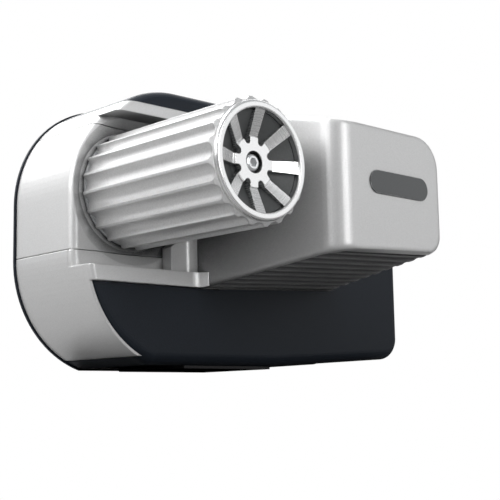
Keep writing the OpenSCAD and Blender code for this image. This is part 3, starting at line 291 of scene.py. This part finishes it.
def makeFinish(name, ownValues):
    finish = {**plainFinish, **ownValues}
    material = bpy.data.materials.new(name)
    material.use_nodes = True
    tree = material.node_tree
    shader = tree.nodes["Principled BSDF"]
    shader.inputs["Metallic"].default_value = finish["metallic"]
    shader.inputs["Coat Weight"].default_value = finish["coat"]
    shader.inputs["Coat Roughness"].default_value = finish["coatRough"]
    shader.inputs["IOR"].default_value = finish["ior"]

    # colour: two close tones, worn edges, a little dust, and painted shade in crevices and beside near
    # parts
    grain = placeEffect(tree, "grain", Scale=finish["grainScale"], Detail=finish["grainDetail"])
    mottle = relief = grain
    if finish["marks"]:
        mottle = relief = placeEffect(tree, finish["marks"], **finish["markValues"])
    if finish["flakeScale"]:
        mottle = placeEffect(tree, "flake", Scale=finish["flakeScale"])
    tone = mixTone(tree, mottle, finish["toneLow"], finish["toneHigh"])
    wear = placeEffect(tree, "wear", Radius=finish["wearRadius"], Amount=finish["wear"])
    tone = mixTone(tree, wear, tone, finish["wornTone"])
    dust = placeEffect(tree, "dust", Amount=finish["dust"])
    tone = mixTone(tree, dust, tone, finish["dustTone"])
    # painted shade: a dark tone laid into the colour where little open space is around the surface
    if finish["paintedShade"]:
        paintedShade = placeEffect(tree, "paintedShade", Amount=finish["paintedShade"], Reach=finish["paintedShadeReach"],
                              Start=finish["paintedShadeStart"])
        tone = mixTone(tree, paintedShade, tone, finish["paintedShadeTone"])
    joinNodes(tree, tone, shader.inputs["Base Color"])

    # gloss follows the same marks
    glossy, dull = finish["rough"]
    rough = addNode(tree, "ShaderNodeMapRange", {"To Min": glossy, "To Max": dull})
    joinNodes(tree, relief, rough.inputs["Value"])
    joinNodes(tree, rough.outputs["Result"], shader.inputs["Roughness"])

    # fine relief, on edges that the bevel node softens
    bump = addNode(tree, "ShaderNodeBump", {"Strength": finish["bump"], "Distance": finish["bumpDepth"]})
    joinNodes(tree, relief, bump.inputs["Height"])
    soft = addNode(tree, "ShaderNodeBevel", {"Radius": finish["soften"]}, samples=effectSet["bevelSamples"])
    joinNodes(tree, soft.outputs["Normal"], bump.inputs["Normal"])
    joinNodes(tree, bump.outputs["Normal"], shader.inputs["Normal"])
    return material


silverCoat = {
    "metallic": 0.35,
    "toneLow": (0.67, 0.67, 0.67),
    "toneHigh": (0.75, 0.75, 0.75),
    "flakeScale": 2600.0,
    "grainScale": 420.0,
    "rough": (0.32, 0.4),
    "bump": 0.12,
    "bumpDepth": 0.0002,
    "coat": 0.25,
    "coatRough": 0.28,
    "wear": 0.15,
    "wornTone": (0.82, 0.82, 0.82),
    "soften": 0.0014,
    # painted shade: near-black laid into the silver in hollows and beside near parts
    "paintedShade": 0.95,
    "paintedShadeReach": 0.025,
    "paintedShadeStart": 0.62,
    "paintedShadeTone": (0.03, 0.031, 0.034),
}
# silver whose painted shade reaches further and begins only in closer hollows, for the carriage nose
noseCoat = {
    **silverCoat,
    "paintedShadeReach": 0.035,
    "paintedShadeStart": 0.5,
}
# silver with weaker, shorter painted shade, for the lower band
bandCoat = {
    **silverCoat,
    "paintedShade": 0.6,
    "paintedShadeReach": 0.012,
}
# silver with softer edges and far-reaching painted shade, which lays a painted shadow of the roller on the
# motor cover's side
coverCoat = {
    **silverCoat,
    "soften": 0.004,
    "paintedShadeReach": 0.08,
    "paintedShadeStart": 0.82,
}
darkShell = {
    "metallic": 0.0,
    "toneLow": (0.013, 0.0175, 0.025),
    "toneHigh": (0.018, 0.023, 0.032),
    "grainScale": 900.0,
    "rough": (0.4, 0.5),
    "bump": 0.18,
    "bumpDepth": 0.0002,
    "ior": 1.28,
    "wear": 0.2,
    "wornTone": (0.045, 0.05, 0.065),
    "soften": 0.0008,
}
blackMoulding = {
    "metallic": 0.0,
    "toneLow": (0.1, 0.101, 0.105),
    "toneHigh": (0.13, 0.131, 0.135),
    "grainScale": 1100.0,
    "rough": (0.45, 0.58),
    "bump": 0.25,
    "bumpDepth": 0.0002,
    "wear": 0.3,
    "wornTone": (0.13, 0.13, 0.135),
}
# slats: tones lighter than the black moulding stand in for light on their faces, a painted highlight, and
# painted shade darkens the grooves between them
slatMouldingPaintedLitAndShaded = {
    **blackMoulding,
    "toneLow": (0.28, 0.28, 0.285),
    "toneHigh": (0.35, 0.35, 0.355),
    "wornTone": (0.4, 0.4, 0.405),
    "paintedShade": 0.95,
    "paintedShadeReach": 0.006,
    "paintedShadeStart": 0.92,
    "paintedShadeTone": (0.006, 0.006, 0.007),
}
blankPlate = {
    "metallic": 0.0,
    "toneLow": (0.05, 0.055, 0.058),
    "toneHigh": (0.065, 0.07, 0.074),
    "grainScale": 1500.0,
    "rough": (0.28, 0.36),
    "bump": 0.08,
    "bumpDepth": 0.0001,
    "coat": 0.4,
    "coatRough": 0.15,
    "wear": 0.9,
    "wearRadius": 0.0008,
    "wornTone": (0.5, 0.5, 0.51),
}
padRubber = {
    "metallic": 0.0,
    "toneLow": (0.012, 0.012, 0.013),
    "toneHigh": (0.025, 0.025, 0.026),
    "grainScale": 700.0,
    "rough": (0.7, 0.85),
    "bump": 0.4,
    "bumpDepth": 0.0003,
    "wear": 0.3,
    "wornTone": (0.06, 0.06, 0.06),
}
powderBlack = {
    "metallic": 0.0,
    "toneLow": (0.016, 0.016, 0.018),
    "toneHigh": (0.028, 0.028, 0.03),
    "grainScale": 500.0,
    "grainDetail": 2.0,
    "rough": (0.42, 0.55),
    "bump": 0.35,
    "bumpDepth": 0.0003,
    "wear": 0.5,
    "wornTone": (0.28, 0.28, 0.29),
}
zincPlate = {
    "metallic": 0.95,
    "toneLow": (0.55, 0.56, 0.57),
    "toneHigh": (0.68, 0.68, 0.66),
    "grainScale": 120.0,
    "rough": (0.3, 0.45),
    "bump": 0.1,
    "bumpDepth": 0.0002,
    "wear": 0.2,
    "wornTone": (0.78, 0.78, 0.78),
}
oxideScrew = {
    "metallic": 0.6,
    "toneLow": (0.03, 0.03, 0.032),
    "toneHigh": (0.05, 0.05, 0.053),
    "grainScale": 800.0,
    "rough": (0.35, 0.5),
    "bump": 0.15,
    "bumpDepth": 0.0002,
    "wear": 0.6,
    "wornTone": (0.35, 0.35, 0.36),
}
groundSteel = {
    "metallic": 1.0,
    "toneLow": (0.6, 0.61, 0.62),
    "toneHigh": (0.72, 0.73, 0.74),
    "marks": "brushing",
    "markValues": {"Stretch": (14.0, 1.0, 14.0), "Scale": 60.0},
    "grainScale": 300.0,
    "rough": (0.2, 0.32),
    "bump": 0.08,
    "bumpDepth": 0.0001,
    "wear": 0.1,
    "wornTone": (0.8, 0.8, 0.8),
}
gearSteel = {
    "metallic": 1.0,
    "toneLow": (0.42, 0.42, 0.43),
    "toneHigh": (0.54, 0.54, 0.55),
    "marks": "brushing",
    "markValues": {"Stretch": (1.0, 10.0, 10.0), "Scale": 70.0},
    "grainScale": 300.0,
    "rough": (0.25, 0.4),
    "bump": 0.12,
    "bumpDepth": 0.0001,
    "wear": 0.4,
    "wornTone": (0.72, 0.72, 0.72),
}
castAlloy = {
    "metallic": 0.85,
    "toneLow": (0.5, 0.51, 0.52),
    "toneHigh": (0.62, 0.63, 0.64),
    "grainScale": 450.0,
    "grainDetail": 5.0,
    "rough": (0.45, 0.6),
    "bump": 0.4,
    "bumpDepth": 0.0003,
    "wear": 0.3,
    "wornTone": (0.74, 0.74, 0.75),
}
blastedAlloy = {
    "metallic": 0.7,
    "toneLow": (0.63, 0.63, 0.63),
    "toneHigh": (0.78, 0.78, 0.78),
    "grainScale": 900.0,
    "grainDetail": 5.0,
    "rough": (0.36, 0.5),
    "bump": 0.3,
    "bumpDepth": 0.0002,
    "wear": 0.2,
    "wornTone": (0.92, 0.92, 0.92),
    "soften": 0.0006,
    # painted shade: grey laid into the flute valleys and hollows of the roller
    "paintedShade": 0.6,
    "paintedShadeReach": 0.012,
    "paintedShadeTone": (0.2, 0.2, 0.205),
}
brightCap = {
    "metallic": 1.0,
    "toneLow": (0.81, 0.81, 0.81),
    "toneHigh": (0.91, 0.91, 0.91),
    "marks": "turning",
    "markValues": {"Scale": 2400.0},
    "grainScale": 500.0,
    "rough": (0.2, 0.32),
    "bump": 0.06,
    "bumpDepth": 0.0001,
    "wear": 0.1,
    "wornTone": (0.95, 0.95, 0.95),
    "soften": 0.0005,
    # painted shade: near-black laid into the cap's narrow gaps, such as the ring round the screw
    "paintedShade": 0.9,
    "paintedShadeReach": 0.004,
    "paintedShadeTone": (0.06, 0.06, 0.063),
}
darkLiner = {
    "metallic": 0.0,
    "toneLow": (0.075, 0.079, 0.08),
    "toneHigh": (0.1, 0.105, 0.106),
    "grainScale": 900.0,
    "rough": (0.4, 0.55),
    "bump": 0.2,
    "bumpDepth": 0.0002,
    "wear": 0.0,
    "wornTone": (0.1, 0.1, 0.1),
}
brightScrew = {
    "metallic": 1.0,
    "toneLow": (0.72, 0.73, 0.74),
    "toneHigh": (0.84, 0.85, 0.86),
    "marks": "turning",
    "markValues": {"Scale": 3500.0},
    "grainScale": 500.0,
    "rough": (0.15, 0.28),
    "bump": 0.05,
    "bumpDepth": 0.0001,
    "wear": 0.1,
    "wornTone": (0.9, 0.9, 0.9),
}
motorSteel = {
    "metallic": 0.9,
    "toneLow": (0.2, 0.205, 0.215),
    "toneHigh": (0.29, 0.295, 0.305),
    "marks": "brushing",
    "markValues": {"Stretch": (1.0, 12.0, 12.0), "Scale": 50.0},
    "grainScale": 300.0,
    "rough": (0.3, 0.45),
    "bump": 0.1,
    "bumpDepth": 0.0001,
    "wear": 0.3,
    "wornTone": (0.55, 0.55, 0.56),
}
ferrite = {
    "metallic": 0.1,
    "toneLow": (0.05, 0.05, 0.052),
    "toneHigh": (0.08, 0.08, 0.083),
    "grainScale": 600.0,
    "rough": (0.6, 0.75),
    "bump": 0.3,
    "bumpDepth": 0.0002,
    "wear": 0.2,
    "wornTone": (0.16, 0.16, 0.16),
}
plainBronze = {
    "metallic": 1.0,
    "toneLow": (0.52, 0.34, 0.15),
    "toneHigh": (0.66, 0.45, 0.21),
    "grainScale": 350.0,
    "rough": (0.28, 0.42),
    "bump": 0.15,
    "bumpDepth": 0.0002,
    "wear": 0.2,
    "wornTone": (0.8, 0.6, 0.32),
}

finishOf = {
    "dark_housing": darkShell,
    "silver_cover": silverCoat,
    "silver_nose": noseCoat,
    "silver_band": bandCoat,
    "silver_motor": coverCoat,
    "black_grille": blackMoulding,
    "black_slats": slatMouldingPaintedLitAndShaded,
    "plate_trim": blankPlate,
    "black_rubber": padRubber,
    "black_steel": powderBlack,
    "zinc_steel": zincPlate,
    "black_screws": oxideScrew,
    "ground_steel": groundSteel,
    "gear_steel": gearSteel,
    "cast_alloy": castAlloy,
    "roller_alloy": blastedAlloy,
    "bright_cap": brightCap,
    "dark_liner": darkLiner,
    "bright_screw": brightScrew,
    "motor_steel": motorSteel,
    "ferrite": ferrite,
    "bronze": plainBronze,
}
ownFinish = {  # pieces that differ from the others of their slot, mostly in their painted shade
    "carriage_cover": "silver_nose",
    "lower_side_cover": "silver_band",
    "motor_cover": "silver_motor",
    "vent_grille": "black_slats",
}
materials = {slot: makeFinish(slot, finish) for slot, finish in finishOf.items()}
for name, piece in nodes.items():
    piece.data.materials.clear()
    piece.data.materials.append(materials[ownFinish.get(name, slotOf[name])])
print("finishes placed:", len(materials))


# Camera, set from the roller's root

cameraSet = {
    "azimuth": 46.45,  # degrees, 0 looks along +Y
    "elevation": -7.95,
    "roll": -1.045,
    "lens": 79.6,  # mm on the sensor below
    "sensor": 36.0,
    "near": 0.01,
    "distance": 0.7768,  # metres from the roller's root, along the view
    "right": 0.0839,  # and across it
    "up": -0.0404,
}


def makeCamera():
    azimuth, roll = math.radians(cameraSet["azimuth"]), math.radians(cameraSet["roll"])
    back = outward(cameraSet["azimuth"], cameraSet["elevation"])
    level = Vector((math.cos(azimuth), math.sin(azimuth), 0.0))
    upright = back.cross(level)
    right = level * math.cos(roll) + upright * math.sin(roll)
    up = upright * math.cos(roll) - level * math.sin(roll)
    data = bpy.data.cameras.new("camera")
    data.sensor_width = cameraSet["sensor"]
    data.lens = cameraSet["lens"]
    data.clip_start = cameraSet["near"]
    camera = bpy.data.objects.new("camera", data)
    turn = Matrix((right, up, back)).transposed().to_4x4()
    place = rollerRoot + back * cameraSet["distance"] + right * cameraSet["right"] + up * cameraSet["up"]
    camera.matrix_world = Matrix.Translation(place) @ turn
    scene.collection.objects.link(camera)
    scene.camera = camera


makeCamera()
print("camera placed")


# Floor that is seen from above only, so that a low view looks past it

floorSet = {
    "half": 4.0,
    "drop": 0.0002,  # keeps it clear of the foot pad's underside
    "tone": (0.7, 0.7, 0.71),
    "bounceTone": (0.3, 0.3, 0.3),  # for the light that it throws back on the object
    "fadeFrom": 0.45,  # metres from the object's middle, where the floor starts to turn white
    "fadeTo": 1.6,
}


def makeFloor():
    half, level = floorSet["half"], cadBox[0].z - floorSet["drop"]
    mesh = bpy.data.meshes.new("floor")
    corners = [(-half, -half, level), (half, -half, level), (half, half, level), (-half, half, level)]
    mesh.from_pydata(corners, [], [(0, 1, 2, 3)])
    floor = bpy.data.objects.new("floor", mesh)
    scene.collection.objects.link(floor)
    material = bpy.data.materials.new("floorPaint")
    material.use_nodes = True
    tree = material.node_tree
    tree.nodes.clear()
    place = addNode(tree, "ShaderNodeTexCoord")
    reach = addNode(tree, "ShaderNodeVectorMath", operation="LENGTH")
    ends = {"From Min": floorSet["fadeFrom"], "From Max": floorSet["fadeTo"]}
    fade = addNode(tree, "ShaderNodeMapRange", ends, interpolation_type="SMOOTHSTEP")
    light = addNode(tree, "ShaderNodeLightPath")
    seen = addNode(tree, "ShaderNodeMath", operation="MULTIPLY")
    paint = addNode(tree, "ShaderNodeBsdfDiffuse")
    white = addNode(tree, "ShaderNodeEmission", {"Color": (1, 1, 1, 1), "Strength": 1.0})
    shape = addNode(tree, "ShaderNodeNewGeometry")
    clear = addNode(tree, "ShaderNodeBsdfTransparent")
    upper = addNode(tree, "ShaderNodeMixShader")
    sides = addNode(tree, "ShaderNodeMixShader")
    out = addNode(tree, "ShaderNodeOutputMaterial")
    joinNodes(tree, place.outputs["Object"], reach.inputs[0])
    joinNodes(tree, reach.outputs["Value"], fade.inputs["Value"])
    joinNodes(tree, fade.outputs["Result"], seen.inputs[0])
    joinNodes(tree, light.outputs["Is Camera Ray"], seen.inputs[1])
    tone = mixTone(tree, light.outputs["Is Camera Ray"], floorSet["bounceTone"], floorSet["tone"])
    joinNodes(tree, tone, paint.inputs["Color"])
    joinNodes(tree, seen.outputs[0], upper.inputs["Fac"])
    joinNodes(tree, paint.outputs[0], upper.inputs[1])
    joinNodes(tree, white.outputs[0], upper.inputs[2])
    joinNodes(tree, shape.outputs["Backfacing"], sides.inputs["Fac"])
    joinNodes(tree, upper.outputs[0], sides.inputs[1])
    joinNodes(tree, clear.outputs[0], sides.inputs[2])
    joinNodes(tree, sides.outputs[0], out.inputs["Surface"])
    mesh.materials.append(material)


makeFloor()
print("floor laid")


# World: white to the camera, and a pale studio that darkens downward for the object

worldSet = {
    "tone": (0.97, 0.985, 1.0, 1.0),
    "fill": 0.09,  # strength for diffuse light
    "gloss": 0.5,  # strength for reflections
    "below": 0.15,  # share of either that is left under riseFrom
    "riseFrom": -0.55,  # height of the direction, from -1 straight down to 1 straight up
    "riseTo": 0.5,
}


def makeWorld():
    world = bpy.data.worlds.new("studio")
    scene.world = world
    world.use_nodes = True
    tree = world.node_tree
    tree.nodes.clear()
    place = addNode(tree, "ShaderNodeTexCoord")
    split = addNode(tree, "ShaderNodeSeparateXYZ")
    ends = {"From Min": worldSet["riseFrom"], "From Max": worldSet["riseTo"], "To Min": worldSet["below"]}
    rise = addNode(tree, "ShaderNodeMapRange", ends, interpolation_type="SMOOTHSTEP")
    light = addNode(tree, "ShaderNodeLightPath")
    level = addNode(tree, "ShaderNodeMapRange", {"To Min": worldSet["fill"], "To Max": worldSet["gloss"]})
    strength = addNode(tree, "ShaderNodeMath", operation="MULTIPLY")
    studio = addNode(tree, "ShaderNodeBackground", {"Color": worldSet["tone"]})
    white = addNode(tree, "ShaderNodeBackground", {"Color": (1, 1, 1, 1), "Strength": 1.0})
    mix = addNode(tree, "ShaderNodeMixShader")
    out = addNode(tree, "ShaderNodeOutputWorld")
    joinNodes(tree, place.outputs["Generated"], split.inputs[0])
    joinNodes(tree, split.outputs["Z"], rise.inputs["Value"])
    joinNodes(tree, light.outputs["Is Glossy Ray"], level.inputs["Value"])
    joinNodes(tree, level.outputs["Result"], strength.inputs[0])
    joinNodes(tree, rise.outputs["Result"], strength.inputs[1])
    joinNodes(tree, strength.outputs[0], studio.inputs["Strength"])
    joinNodes(tree, light.outputs["Is Camera Ray"], mix.inputs["Fac"])
    joinNodes(tree, studio.outputs[0], mix.inputs[1])
    joinNodes(tree, white.outputs[0], mix.inputs[2])
    joinNodes(tree, mix.outputs[0], out.inputs["Surface"])


makeWorld()
print("world lit")


# Lamps: azimuth as for the camera, elevation above the floor

lampSet = {
    "key": {"azimuth": -22.0, "elevation": 66.0, "distance": 1.2, "size": (0.6, 0.5), "watts": 12.5},
    "nose": {"azimuth": -88.0, "elevation": 42.0, "distance": 1.3, "size": (1.5, 0.8), "watts": 9.5},
    "left": {"azimuth": -42.0, "elevation": 18.0, "distance": 1.3, "size": (0.6, 0.5), "watts": 0.7},
    "front": {"azimuth": 4.0, "elevation": 24.0, "distance": 1.3, "size": (0.9, 0.5), "watts": 6.8},
    "side": {"azimuth": 88.0, "elevation": 14.0, "distance": 1.4, "size": (0.5, 0.7), "watts": 4.8},
    "panel": {"azimuth": 134.0, "elevation": 10.0, "distance": 1.4, "size": (1.2, 1.0), "watts": 2.4},
    "back": {"azimuth": 226.0, "elevation": 36.0, "distance": 1.5, "size": (1.2, 0.9), "watts": 6.0},
}


def makeLamps():
    for name, lamp in lampSet.items():
        away = outward(lamp["azimuth"], lamp["elevation"])
        data = bpy.data.lights.new(name, "AREA")
        data.shape = "RECTANGLE"
        data.size, data.size_y = lamp["size"]
        data.energy = lamp["watts"]
        piece = bpy.data.objects.new(name, data)
        piece.location = objectMid + away * lamp["distance"]
        piece.rotation_euler = away.to_track_quat("Z", "Y").to_euler()
        scene.collection.objects.link(piece)


makeLamps()
scene.view_settings.view_transform = "Standard"
print("lamps placed:", len(lampSet))
